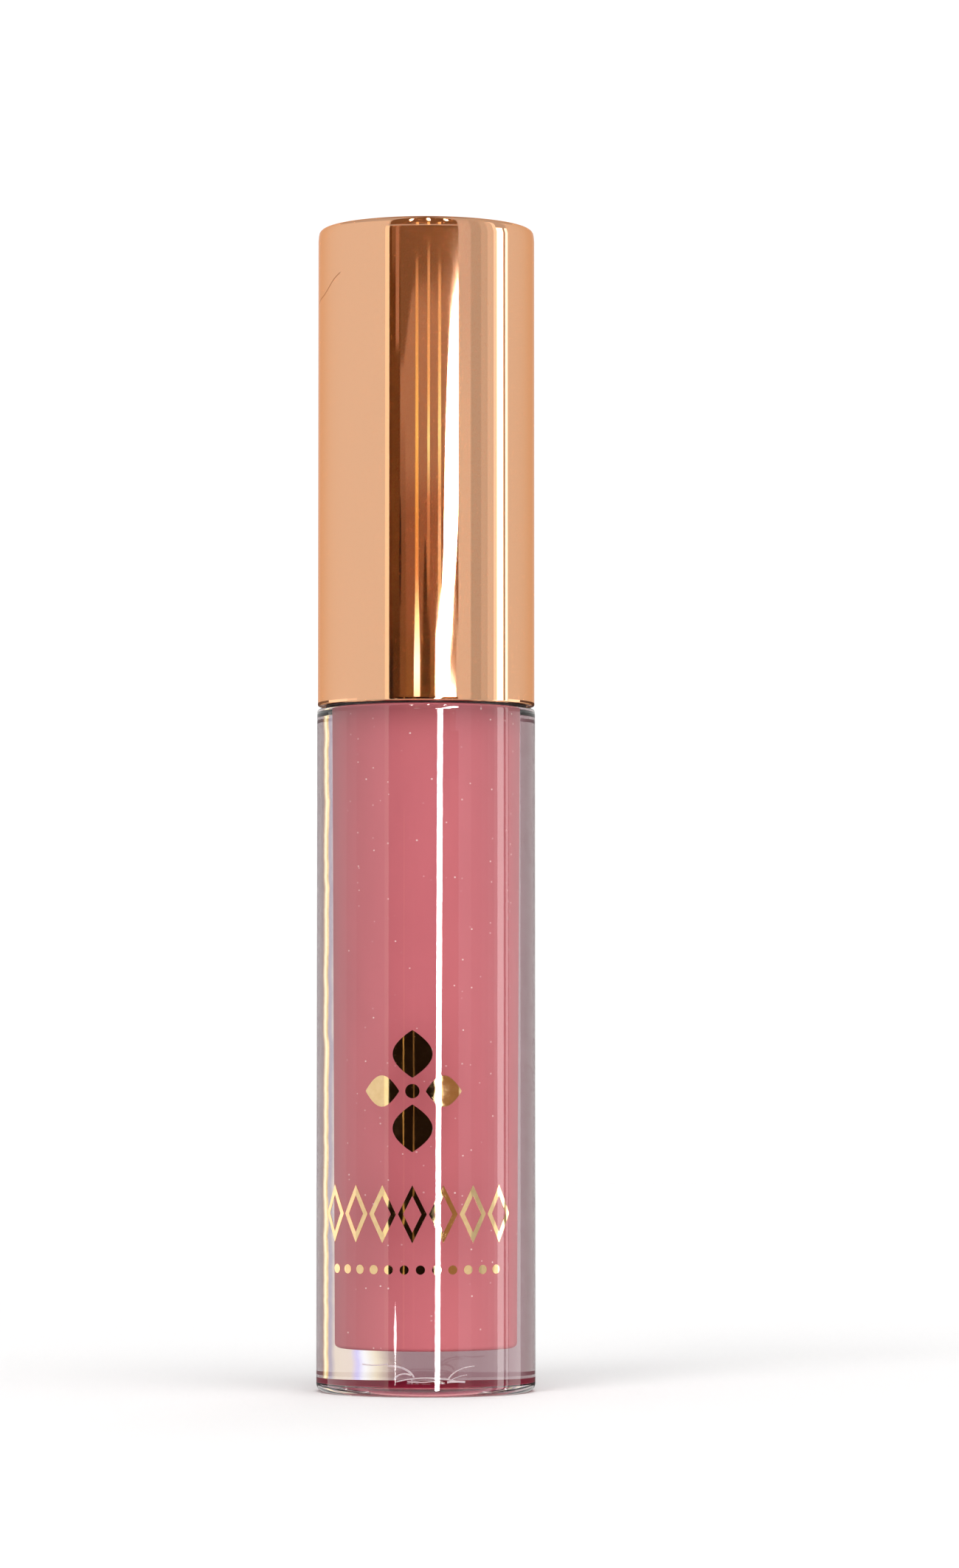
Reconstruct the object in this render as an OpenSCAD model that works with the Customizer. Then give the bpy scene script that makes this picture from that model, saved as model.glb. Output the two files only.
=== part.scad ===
// Lip gloss tube: a clear thick-walled vial, its wiper and filling, and a screw cap that carries a
// flocked wand. The origin is the middle of the underside, +Z up, the decorated front towards -Y.
// All sizes are in millimetres.

/* [Body] */
// Outer diameter of the clear body
body_d = 19.2; // [16:0.1:23.1]
// Height of the body from the underside to the shoulder
body_h = 59.8; // [49.8:0.1:71.8]
// Thickness of the clear base under the gloss
base_t = 3.8; // [3:0.1:4.6]
// Radius of the rounded shoulder edge
shoulder_round = 0.25; // [0.15:0.05:0.9]
// Radius of the rounded bottom edge
foot_round = 0.7; // [0.3:0.05:0.9]
// Depth of the recess under the base, which holds the sticker
recess_h = 0.8; // [0.5:0.05:1.2]
// Width of the flat ring the tube stands on, past the bottom edge
foot_ring_w = 1.0; // [0.6:0.1:1.6]
// How much narrower the cavity is at its floor than at the neck, on the radius
cavity_draft = 0.18; // [0:0.02:0.3]
// Radius of the cavity's floor corner
cavity_round = 0.4; // [0.2:0.05:0.8]

/* [Neck] */
// Height of the neck above the shoulder
neck_h = 12.6; // [11.5:0.1:15]
// Wall of the neck under its thread
neck_wall = 1.3; // [1:0.05:1.5]
// Height of the plain collar at the foot of the neck
collar_h = 1.9; // [1:0.1:2.2]
// Thread rise in one turn
thread_lead = 2.4; // [2:0.1:2.88]
// Height of the thread off the neck
thread_depth = 0.75; // [0.6:0.05:0.9]
// Turns of thread on the neck
neck_turns = 1.5; // [1:0.25:1.75]
// Turns of thread inside the cap
liner_turns = 1.25; // [1:0.25:1.5]

/* [Cap] */
// Height of the cap
cap_h = 42.15; // [35.1:0.05:50.6]
// How much narrower the cap is than the body, on the diameter
cap_step = 0.1; // [0:0.05:0.3]
// Gap between the closed cap and the shoulder
cap_gap = 0.25; // [0.15:0.05:0.4]
// Gap between the shoulder and the inner cap, which reaches a little lower than the shell
liner_gap = 0.12; // [0.1:0.02:0.14]
// Wall of the outer shell
shell_wall = 0.7; // [0.5:0.05:0.9]
// Thickness of the shell's flat top
shell_top = 0.9; // [0.7:0.05:1.2]
// Radius of the cap's rounded top edge
cap_round = 0.4; // [0.2:0.05:1.4]
// Wall of the inner cap around the thread
liner_wall = 1.35; // [1.2:0.05:1.5]
// Thickness of the inner cap's ceiling
ceiling_t = 2.0; // [1.5:0.1:2.5]
// Number of stiffening ribs above the ceiling
rib_count = 8; // [6:1:10]

/* [Wand] */
// Diameter of the rod
rod_d = 3.8; // [3.2:0.1:4.6]
// Diameter of the rod's pressed-in head
head_d = 5.2; // [4.8:0.1:5.6]
// Length of the rod's head
head_h = 7.3; // [5:0.1:8]
// Length of the applicator foot, core and flock
tip_h = 13.2; // [11:0.1:15]
// Diameter of the soft core of the foot
core_d = 3.2; // [2.8:0.1:3.6]
// Thickness of the flock coat
flock_t = 0.45; // [0.3:0.05:0.6]
// Gap between the foot's end and the floor of the cavity
tip_gap = 1.6; // [1:0.1:3]

/* [Fits] */
// Radial gap between the two threads' crests and the walls across from them
thread_clear = 0.15; // [0.1:0.01:0.2]
// Axial gap between the loaded flanks of the two threads
flank_clear = 0.1; // [0.06:0.01:0.15]
// Glue gap between the shell and the inner cap, on the radius
glue_gap = 0.03; // [0.02:0.01:0.06]
// Gap between the wand and what it passes through, on the radius
wand_clear = 0.15; // [0.1:0.01:0.3]
// Axial gap above and below the seal ring
seal_gap = 0.04; // [0.02:0.01:0.08]
// Radial interference of the wiper in the neck
wiper_press = 0.02; // [0:0.01:0.04]

/* [Decoration] */
// Thickness of the stamped foil
foil_t = 0.04; // [0.03:0.01:0.06]
// Height of the emblem
emblem_h = 10.5; // [8:0.1:12]
// Width of the emblem
emblem_w = 8.6; // [7:0.1:10]
// Height of the large band
band_h = 5.0; // [4:0.1:6]
// Width of one lozenge of the large band
band_w = 2.5; // [1.8:0.1:2.6]
// Line width of the lozenges
band_line = 0.42; // [0.3:0.02:0.5]
// Gap between two lozenges
band_gap = 0.18; // [0.05:0.01:0.4]
// Number of lozenges in the large band
band_count = 7; // [5:1:9]
// Number of dots in the small line
line_count = 12; // [8:1:14]
// Diameter of one dot
dot_d = 0.8; // [0.5:0.1:1]
// Gap between two dots
dot_gap = 0.6; // [0.3:0.05:0.8]
// Gap between the round label and the recess around it, on the radius
label_margin = 0.4; // [0.2:0.05:1]
// Thickness of the round label
label_t = 0.1; // [0.06:0.01:0.15]

/* [Hidden] */
$fn = 96;
body_r = body_d / 2;
cap_r = body_r - cap_step / 2;
shell_in_r = cap_r - shell_wall;
liner_r = shell_in_r - glue_gap;
liner_bore_r = liner_r - liner_wall;
neck_crest_r = liner_bore_r - thread_clear;
neck_r = neck_crest_r - thread_depth;
liner_crest_r = neck_r + thread_clear + 0.05;
bore_r = neck_r - neck_wall;
floor_r = bore_r - cavity_draft;
recess_r = body_r - foot_round - foot_ring_w;

cap_z0 = body_h + cap_gap;
cap_z1 = cap_z0 + cap_h;
neck_top = body_h + neck_h;
flange_h = 0.8;
flange_top = neck_top + flange_h;
seal_h = 0.9;
seal_z0 = flange_top + seal_gap;
ceiling_z = seal_z0 + seal_h + seal_gap;
liner_z0 = body_h + liner_gap;
liner_z1 = cap_z1 - shell_top - 0.1;

rod_r = rod_d / 2;
core_r = core_d / 2;
flock_r = core_r + flock_t;
wand_r = max(rod_r, flock_r);
orifice_r = wand_r + wand_clear;
gloss_bore_r = orifice_r + 0.05;
tip_z0 = base_t + tip_gap;
tip_z1 = tip_z0 + tip_h;
spigot_r = core_r - 0.5;
spigot_h = 4;

wiper_z0 = neck_top - 9.5;
gloss_z1 = wiper_z0 - 0.7;

// Thread shape: half heights at the root and at the crest, and where the two helices sit
root_half = 0.65;
crest_half = 0.3;
flank = (root_half - crest_half) / thread_depth;
thread_z = body_h + collar_h + 2.9;
mesh_drop = root_half + crest_half + flank_clear;
sink = 0.3;

// Which node to show

// ---- shapes that repeat ----

// A plain ring or disc in the half plane, from radius r0 to r1 and height z0 to z1
module band2d(r0, r1, z0, z1) {
    translate([r0, z0]) square([r1 - r0, z1 - z0]);
}

// A solid of revolution's half plane with rounded outer corners: lo at the bottom, hi at the top
module rounded2d(r, z0, z1, lo, hi) {
    big = max(lo, hi);
    band2d(0, r - big, z0, z1);
    band2d(0, r, z0 + lo, z1 - hi);
    band2d(0, r - lo, z0, z0 + lo + 0.01);
    band2d(0, r - hi, z1 - hi - 0.01, z1);
    if (lo > 0) translate([r - lo, z0 + lo]) circle(lo);
    if (hi > 0) translate([r - hi, z1 - hi]) circle(hi);
}

// One helical ridge between an inner and an outer radius. in_half and out_half are its half heights
// there. The free edge, at free_r, sinks back to hide_r over the first and last stretch.
module helix(in_r, out_r, in_half, out_half, free_r, hide_r, z0, lead, turns) {
    per_turn = 36;
    fade = 40;
    last = ceil(turns * per_turn);
    total = last * 360 / per_turn;
    outward = free_r == out_r;
    pts = [
        for (i = [0 : last])
            let (a = i * 360 / per_turn,
                 k = min(1, a / fade, (total - a) / fade),
                 free = hide_r + (free_r - hide_r) * k,
                 r0 = outward ? in_r : free,
                 r1 = outward ? free : out_r,
                 z = z0 + lead * a / 360)
                each [
                    [r0 * cos(a), r0 * sin(a), z - in_half],
                    [r1 * cos(a), r1 * sin(a), z - out_half],
                    [r1 * cos(a), r1 * sin(a), z + out_half],
                    [r0 * cos(a), r0 * sin(a), z + in_half]
                ]
    ];
    sides = [
        for (i = [0 : last - 1], j = [0 : 3])
            let (a = 4 * i + j, b = 4 * i + (j + 1) % 4)
                each [[a, b, b + 4], [a, b + 4, a + 4]]
    ];
    e = 4 * last;
    polyhedron(pts, concat(sides, [[0, 3, 2], [0, 2, 1], [e, e + 1, e + 2], [e, e + 2, e + 3]]));
}

// A pointed petal, as long as h and as wide as w, standing on the origin
module petal2d(w, h) {
    n = 14;
    function bulge(t) = w / 2 * pow(sin(180 * t), 0.9);
    polygon(concat(
        [for (i = [0 : n]) [bulge(i / n), h * i / n]],
        [for (i = [n - 1 : -1 : 1]) [-bulge(i / n), h * i / n]]
    ));
}

// An upright lozenge around the origin
module lozenge2d(w, h) {
    polygon([[w / 2, 0], [0, h / 2], [-w / 2, 0], [0, -h / 2]]);
}

// A flat shape printed on the front of the body, turned by angle about the axis
module stamped(z, angle) {
    rotate([0, 0, angle])
        intersection() {
            difference() {
                cylinder(r = body_r + foil_t, h = body_h);
                translate([0, 0, -1]) cylinder(r = body_r, h = body_h + 2);
            }
            translate([0, 0, z])
                rotate([90, 0, 0])
                    linear_extrude(body_r + 2) children();
        }
}

// The applicator foot: a round-ended rod with one long slanted face
module foot(r, z0, z1, cut) {
    difference() {
        rotate_extrude() {
            intersection() {
                union() {
                    translate([0, z0 + r]) circle(r);
                    band2d(0, r, z0 + r, z1);
                }
                band2d(0, r + 1, z0 - 1, z1);
            }
        }
        translate([cut, 0, z0])
            rotate([0, 11, 0])
                translate([0, -5, -3]) cube([6, 10, 30]);
    }
}

// ---- the vial ----

module bottle() {
    color([0.86, 0.83, 0.83, 0.35]) {
        rotate_extrude() {
            difference() {
                union() {
                    rounded2d(body_r, 0, body_h, foot_round, shoulder_round);
                    band2d(0, neck_crest_r, body_h - 1, body_h + collar_h);
                    rounded2d(neck_r, body_h - 1, neck_top, 0, 0.2);
                }
                cavity2d(neck_top + 1);
                band2d(0, recess_r, -1, recess_h);
            }
        }
        helix(
            neck_r - sink, neck_crest_r,
            root_half + sink * flank, crest_half,
            neck_crest_r, neck_r - 0.15,
            thread_z, thread_lead, neck_turns
        );
    }
}

// The space inside the vial up to a height, as one outline with a rounded floor corner
module cavity2d(top) {
    steps = 6;
    corner = [
        for (i = [0 : steps])
            let (a = 90 * i / steps)
                [
                    floor_r - cavity_round * (1 - sin(a)),
                    base_t + cavity_round * (1 - cos(a))
                ]
    ];
    polygon(concat([[0, base_t]], corner, [[bore_r, body_h], [bore_r, top], [0, top]]));
}

// The insert pressed into the neck: a flange on the rim and a lip that narrows onto the wand
module wiper() {
    color([0.93, 0.91, 0.88])
        rotate_extrude() {
            out_r = bore_r + wiper_press;
            wall = 0.75;
            band2d(out_r - wall, neck_r - 0.15, neck_top, flange_top);
            polygon([
                [out_r - wall, flange_top - 0.01], [out_r - wall, wiper_z0 + 4.6],
                [orifice_r, wiper_z0 + 0.6], [orifice_r, wiper_z0],
                [orifice_r + 0.55, wiper_z0], [out_r - 0.35, wiper_z0 + 4.0],
                [out_r, wiper_z0 + 4.9], [out_r, flange_top - 0.01]
            ]);
        }
}

// The gloss: it fills the cavity up into the neck, with room for the wand
module gloss_fill() {
    color([0.79, 0.38, 0.42])
        rotate_extrude() {
            difference() {
                cavity2d(gloss_z1);
                band2d(0, gloss_bore_r, tip_z0 - 0.3, neck_top);
            }
        }
}

// The round sticker in the recess under the base
module base_label() {
    color([0.62, 0.20, 0.27])
        translate([0, 0, recess_h - label_t])
            cylinder(r = recess_r - label_margin, h = label_t);
}

// ---- the stamped foil ----

// Four petals around a small round centre
module foil_emblem() {
    color([0.83, 0.64, 0.36])
        stamped(body_h * 0.44, 0) {
            gap = 1.15;
            for (s = [0, 180])
                rotate(s) translate([0, gap]) petal2d(3.5, emblem_h / 2 - gap);
            for (s = [90, 270])
                rotate(s) translate([0, gap]) petal2d(2.7, emblem_w / 2 - gap);
            circle(0.62);
        }
}

// A row of slim open lozenges, wrapped around the front
module foil_band() {
    step = (band_w + band_gap) / body_r * 180 / PI;
    color([0.83, 0.64, 0.36])
        for (i = [0 : band_count - 1])
            stamped(body_h * 0.263, (i - (band_count - 1) / 2) * step)
                difference() {
                    lozenge2d(band_w, band_h);
                    lozenge2d(band_w - 2.2 * band_line, band_h - 4.4 * band_line);
                }
}

// A row of small round dots, wrapped around the front
module foil_line() {
    step = (dot_d + dot_gap) / body_r * 180 / PI;
    color([0.83, 0.64, 0.36])
        for (i = [0 : line_count - 1])
            stamped(body_h * 0.183, (i - (line_count - 1) / 2) * step)
                circle(d = dot_d, $fn = 24);
}

// ---- the cap ----

// The mirror-bright outer shell
module cap_shell() {
    color([0.86, 0.62, 0.48])
        rotate_extrude() {
            difference() {
                rounded2d(cap_r, cap_z0, cap_z1, 0.15, cap_round);
                rounded2d(shell_in_r, cap_z0 - 1, cap_z1 - shell_top, 0, 0.5);
            }
        }
}

// The inner cap: a threaded cup, a ceiling, and a socket for the wand held by ribs
module cap_liner() {
    socket_r = head_d / 2 + 1;
    wall_in_r = liner_r - 0.9;
    over_z = ceiling_z + ceiling_t;
    color([0.12, 0.11, 0.11]) {
        difference() {
            union() {
                rotate_extrude() {
                    difference() {
                        rounded2d(liner_r, liner_z0, liner_z1, 0.1, 0.5);
                        band2d(0, liner_bore_r, liner_z0 - 1, ceiling_z);
                        band2d(0, wall_in_r, over_z, liner_z1 + 1);
                        polygon([
                            [0, liner_z0 - 1], [liner_bore_r + 0.45, liner_z0 - 0.01],
                            [liner_bore_r, liner_z0 + 0.5], [0, liner_z0 + 0.5]
                        ]);
                    }
                }
                translate([0, 0, over_z - 0.5])
                    cylinder(r = socket_r, h = head_h - ceiling_t + 1.5);
                for (i = [0 : rib_count - 1])
                    rotate([0, 0, i * 360 / rib_count])
                        translate([head_d / 2 + 0.5, -0.4, over_z - 0.5])
                            cube([wall_in_r - head_d / 2, 0.8, liner_z1 - over_z - 4]);
            }
            translate([0, 0, ceiling_z - 1])
                cylinder(r = head_d / 2, h = head_h + 1);
        }
        helix(
            liner_crest_r, liner_bore_r + sink,
            crest_half, root_half + sink * flank,
            liner_crest_r, liner_bore_r + 0.15,
            thread_z - mesh_drop, thread_lead, liner_turns
        );
    }
}

// The washer that seals the ceiling of the inner cap against the wiper's flange
module seal_ring() {
    color([0.95, 0.94, 0.92])
        rotate_extrude()
            band2d(head_d / 2 + 0.2, liner_bore_r - 0.15, seal_z0, seal_z0 + seal_h);
}

// ---- the wand ----

// The rod, with a head pressed into the cap's socket and a spigot for the foot
module wand_rod() {
    color([0.93, 0.91, 0.89])
        rotate_extrude() {
            difference() {
                union() {
                    rounded2d(head_d / 2, ceiling_z, ceiling_z + head_h, 0, 0.3);
                    band2d(0, rod_r, tip_z1, ceiling_z + 1);
                    rounded2d(spigot_r, tip_z1 - spigot_h, tip_z1 + 1, 0.2, 0);
                    polygon([
                        [0, ceiling_z - 1.2], [rod_r, ceiling_z - 1.2],
                        [head_d / 2, ceiling_z + 0.001], [0, ceiling_z + 0.001]
                    ]);
                }
            }
        }
}

// The soft core of the applicator foot, with the hole that takes the rod's spigot
module tip_core() {
    color([0.93, 0.86, 0.82])
        difference() {
            union() {
                foot(core_r, tip_z0 + flock_t, tip_z1, 0.05);
                translate([0, 0, tip_z1 - 1])
                    cylinder(r = min(rod_r, flock_r), h = 1);
            }
            translate([0, 0, tip_z1 - spigot_h])
                cylinder(r = spigot_r, h = spigot_h + 1);
        }
}

// The flock coat around the core
module tip_flock() {
    color([0.90, 0.70, 0.68])
        difference() {
            foot(flock_r, tip_z0, tip_z1 - 1, 0.05 + flock_t);
            foot(core_r, tip_z0 + flock_t, tip_z1, 0.05);
        }
}

bottle();
wiper();
gloss_fill();
base_label();
foil_emblem();
foil_band();
foil_line();
cap_shell();
cap_liner();
seal_ring();
wand_rod();
tip_core();
tip_flock();
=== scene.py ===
import math
import random

import bmesh
import bpy
from mathutils import Matrix, Vector


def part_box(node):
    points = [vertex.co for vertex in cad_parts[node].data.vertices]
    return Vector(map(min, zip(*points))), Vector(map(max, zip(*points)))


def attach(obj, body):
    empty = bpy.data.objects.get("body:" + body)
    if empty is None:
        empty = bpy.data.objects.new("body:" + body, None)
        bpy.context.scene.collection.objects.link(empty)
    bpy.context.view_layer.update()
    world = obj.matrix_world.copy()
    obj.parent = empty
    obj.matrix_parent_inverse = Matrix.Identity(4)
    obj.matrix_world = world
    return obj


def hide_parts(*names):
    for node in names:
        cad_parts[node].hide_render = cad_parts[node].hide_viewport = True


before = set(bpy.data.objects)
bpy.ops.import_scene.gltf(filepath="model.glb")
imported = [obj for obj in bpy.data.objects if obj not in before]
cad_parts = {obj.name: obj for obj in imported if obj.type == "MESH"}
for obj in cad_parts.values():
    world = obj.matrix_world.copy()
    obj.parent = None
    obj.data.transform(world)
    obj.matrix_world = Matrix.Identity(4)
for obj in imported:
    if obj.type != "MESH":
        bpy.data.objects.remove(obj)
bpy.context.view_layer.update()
print("frame loaded")

mm = 0.001
weldDistance = 0.0005   # mm, vertices nearer than this are one
flatDistance = 0.0001   # mm, for cuts and for edges that have collapsed
ringReach = 0.004       # mm, how near a vertex lies to the ring it belongs to


# sizes read from the frame

def boxOf(node):
    low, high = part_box(node)
    return Vector(low) / mm, Vector(high) / mm


_, bottleHigh = boxOf("bottle")
capLow, capHigh = boxOf("cap_shell")
_, glossHigh = boxOf("gloss_fill")
wiperLow, wiperHigh = boxOf("wiper")
rodLow, rodHigh = boxOf("wand_rod")
coreLow, coreHigh = boxOf("tip_core")
flockLow, flockHigh = boxOf("tip_flock")
labelLow, labelHigh = boxOf("base_label")
emblemLow, emblemHigh = boxOf("foil_emblem")
bandLow, bandHigh = boxOf("foil_band")
lineLow, lineHigh = boxOf("foil_line")

bodyR = bottleHigh.x
neckTop = bottleHigh.z
capR = capHigh.x


# mesh helpers, all in millimetres until finishPiece

def addObject(name, data):
    made = bpy.data.objects.new(name, data)
    bpy.context.scene.collection.objects.link(made)
    return made


def meshFrom(bm, name):
    mesh = bpy.data.meshes.new(name)
    bm.to_mesh(mesh)
    bm.free()
    return mesh


def spinProfile(points, segments, closed=False):
    # turns an outline of (radius, height) points once around the axis
    bm = bmesh.new()
    verts = [bm.verts.new((r, 0, z)) for r, z in points]
    edges = [bm.edges.new(pair) for pair in zip(verts, verts[1:])]
    if closed:
        edges.append(bm.edges.new((verts[-1], verts[0])))
    bmesh.ops.spin(
        bm, geom=verts + edges, cent=(0, 0, 0), axis=(0, 0, 1),
        angle=math.tau, steps=segments, use_merge=True,
    )
    bmesh.ops.remove_doubles(bm, verts=bm.verts, dist=weldDistance)
    bmesh.ops.dissolve_degenerate(bm, dist=flatDistance, edges=bm.edges)
    bmesh.ops.recalc_face_normals(bm, faces=bm.faces)
    return bm


def ringEdges(bm, radius, height):
    def on(v):
        beside = abs(math.hypot(v.co.x, v.co.y) - radius)
        return beside < ringReach and abs(v.co.z - height) < ringReach
    return [e for e in bm.edges if on(e.verts[0]) and on(e.verts[1])]


def roundRing(bm, radius, height, size, segments):
    edges = ringEdges(bm, radius, height)
    bmesh.ops.bevel(
        bm, geom=edges, offset=size, offset_type="OFFSET", segments=segments,
        profile=0.5, affect="EDGES", material=-1, clamp_overlap=True,
    )


def joinInto(target, source):
    mesh = meshFrom(source, "scrap")
    target.from_mesh(mesh)
    bpy.data.meshes.remove(mesh)


def finishPiece(bm, name, material, body, stands=(), weighted=True):
    # scales the mesh to metres, makes the object, and hangs it on its body
    bmesh.ops.scale(bm, vec=(mm, mm, mm), verts=bm.verts)
    mesh = meshFrom(bm, name)
    mesh.shade_smooth()
    mesh.set_sharp_from_angle(angle=math.radians(40))
    piece = addObject(name, mesh)
    mesh.materials.append(material)
    if weighted:
        fair = piece.modifiers.new("fairNormals", "WEIGHTED_NORMAL")
        fair.keep_sharp = True
        fair.weight = 80
    if stands:
        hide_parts(*stands)
    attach(piece, body)
    return piece


# material helpers

def newMaterial(name):
    mat = bpy.data.materials.new(name)
    mat.use_nodes = True
    tree = mat.node_tree
    tree.nodes.clear()
    out = tree.nodes.new("ShaderNodeOutputMaterial")
    shader = tree.nodes.new("ShaderNodeBsdfPrincipled")
    tree.links.new(shader.outputs[0], out.inputs["Surface"])
    return mat, tree, shader


def setInputs(node, values):
    for name, value in values.items():
        node.inputs[name].default_value = value


def mathNode(tree, operation, constants=()):
    # constants are (input number, value)
    node = tree.nodes.new("ShaderNodeMath")
    node.operation = operation
    for place, value in constants:
        node.inputs[place].default_value = value
    return node


def objectNoise(tree, scale, detail=3.0, stretch=(1, 1, 1)):
    coords = tree.nodes.new("ShaderNodeTexCoord")
    place = tree.nodes.new("ShaderNodeMapping")
    place.inputs["Scale"].default_value = stretch
    tex = tree.nodes.new("ShaderNodeTexNoise")
    setInputs(tex, {"Scale": scale, "Detail": detail})
    tree.links.new(coords.outputs["Object"], place.inputs["Vector"])
    tree.links.new(place.outputs[0], tex.inputs["Vector"])
    return tex


def rampFrom(tree, source, stops, into=None):
    ramp = tree.nodes.new("ShaderNodeValToRGB")
    table = ramp.color_ramp.elements
    while len(table) < len(stops):
        table.new(0.5)
    for element, (at, value) in zip(table, stops):
        element.position = at
        element.color = (*value, 1) if isinstance(value, tuple) else (value, value, value, 1)
    tree.links.new(source, ramp.inputs["Fac"])
    if into is not None:
        tree.links.new(ramp.outputs["Color"], into)
    return ramp


def bumpFrom(tree, shader, height, strength, distance):
    bump = tree.nodes.new("ShaderNodeBump")
    setInputs(bump, {"Strength": strength, "Distance": distance})
    tree.links.new(height, bump.inputs["Height"])
    tree.links.new(bump.outputs[0], shader.inputs["Normal"])


# the camera and the light

studio = {
    "cameraAzimuth": 7.0,     # degrees to the right of the decorated front
    "cameraHeight": 30.8,     # mm
    "cameraDistance": 481.0,  # mm from the axis
    "lens": 125.5,
    "pitch": 2.67,            # degrees up
    "yaw": 0.56,              # degrees to the right
    "ringRadius": 700.0,      # mm, where the light panels stand
    "floorWidth": 4000,
    "floorFront": -1500,
    "floorFlat": 700,         # how far back it is surely flat
    "floorBend": 1300,        # how far back it has turned up
    "floorBendRadius": 560,
    "backdropHeight": 1500,
    "streakTurn": 0.065,      # radians, turns the gradient seen through clear walls
    "streakSway": 0.13,       # radians, how far its streaks wander
    "streakScale": 130,
}


def around(azimuth, radius, height):
    # a point at an azimuth counted from the camera's side, positive to the camera's right
    a = math.radians(studio["cameraAzimuth"] + azimuth)
    return Vector((math.sin(a) * radius, -math.cos(a) * radius, height)) * mm


def addCamera():
    data = bpy.data.cameras.new("studioCamera")
    data.lens = studio["lens"]
    data.sensor_width = 36
    data.clip_start = 0.01
    data.clip_end = 20
    camera = addObject("studioCamera", data)
    spot = around(0, studio["cameraDistance"], studio["cameraHeight"])
    turn = math.radians(studio["cameraAzimuth"] - studio["yaw"])
    tilt = math.radians(90 + studio["pitch"])
    camera.matrix_world = (
        Matrix.Translation(spot) @ Matrix.Rotation(turn, 4, "Z") @ Matrix.Rotation(tilt, 4, "X")
    )
    bpy.context.scene.camera = camera


def glowMaterial(name, color, strength, fade=None):
    # fade is a list of (elevation, color) that takes the place of the plain color
    mat = bpy.data.materials.new(name)
    mat.use_nodes = True
    tree = mat.node_tree
    tree.nodes.clear()
    out = tree.nodes.new("ShaderNodeOutputMaterial")
    glow = tree.nodes.new("ShaderNodeEmission")
    setInputs(glow, {"Color": (*color, 1), "Strength": strength})
    tree.links.new(glow.outputs[0], out.inputs["Surface"])
    if fade:
        low, high = fade[0][0], fade[-1][0]
        coords = tree.nodes.new("ShaderNodeTexCoord")
        split = tree.nodes.new("ShaderNodeSeparateXYZ")
        span = tree.nodes.new("ShaderNodeMapRange")
        setInputs(span, {
            "From Min": ringHeight(studio["ringRadius"], low) * mm,
            "From Max": ringHeight(studio["ringRadius"], high) * mm,
        })
        tree.links.new(coords.outputs["Object"], split.inputs[0])
        tree.links.new(split.outputs["Z"], span.inputs["Value"])
        foot, head = ringHeight(0, low), ringHeight(0, high)
        stops = [((ringHeight(0, e) - foot) / (head - foot), c) for e, c in fade]
        rampFrom(tree, span.outputs[0], stops, glow.inputs["Color"])
    return mat


def ringHeight(radius, elevation):
    # where a panel must reach for its mirror image to stand at this elevation before the camera
    reach = radius + studio["cameraDistance"] - bodyR
    return studio["cameraHeight"] + reach * math.tan(math.radians(elevation))


def hideFromLenses(panel):
    # panels show in mirrors and light things, and nothing sees them directly or through clear walls
    panel.visible_camera = False
    panel.visible_transmission = False
    panel.visible_shadow = False


def onlyMirrored(panel):
    # thin bright shapes are there for the reflections alone
    panel.visible_diffuse = False
    panel.data.materials[0].cycles.emission_sampling = "NONE"


def addPanel(name, rows, color=(1, 1, 1), strength=1.0, nearer=0.0, fade=None):
    # a curved sheet on a ring round the object. Each row is (elevation, left azimuth, right azimuth)
    radius = studio["ringRadius"] - nearer
    columns = max(2, int(max(r - l for _, l, r in rows) / 4))
    bm = bmesh.new()
    bmesh.ops.create_grid(bm, x_segments=columns, y_segments=len(rows) - 1, size=1.0)
    for v in bm.verts:
        across = (v.co.x + 1) / 2
        up = (v.co.y + 1) / 2 * (len(rows) - 1)
        i = min(len(rows) - 2, int(up + 0.001))
        part = up - i
        elevation, left, right = (p + (q - p) * part for p, q in zip(rows[i], rows[i + 1]))
        v.co = around(left + (right - left) * across, radius, ringHeight(radius, elevation))
    mesh = meshFrom(bm, name)
    panel = addObject(name, mesh)
    mesh.materials.append(glowMaterial(name + "Glow", color, strength, fade))
    hideFromLenses(panel)
    if nearer > 0:
        onlyMirrored(panel)
    return panel


def addArch(name, azimuths, elevations, color, strength, radius=600.0):
    # a sheet that follows the sky over the object between two real elevations
    bm = bmesh.new()
    bmesh.ops.create_grid(bm, x_segments=8, y_segments=16, size=1.0)
    for v in bm.verts:
        azimuth = azimuths[0] + (azimuths[1] - azimuths[0]) * (v.co.x + 1) / 2
        e = math.radians(elevations[0] + (elevations[1] - elevations[0]) * (v.co.y + 1) / 2)
        v.co = around(azimuth, radius * math.cos(e), 100 + radius * math.sin(e))
    mesh = meshFrom(bm, name)
    arch = addObject(name, mesh)
    mesh.materials.append(glowMaterial(name + "Glow", color, strength))
    hideFromLenses(arch)
    onlyMirrored(arch)


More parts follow.
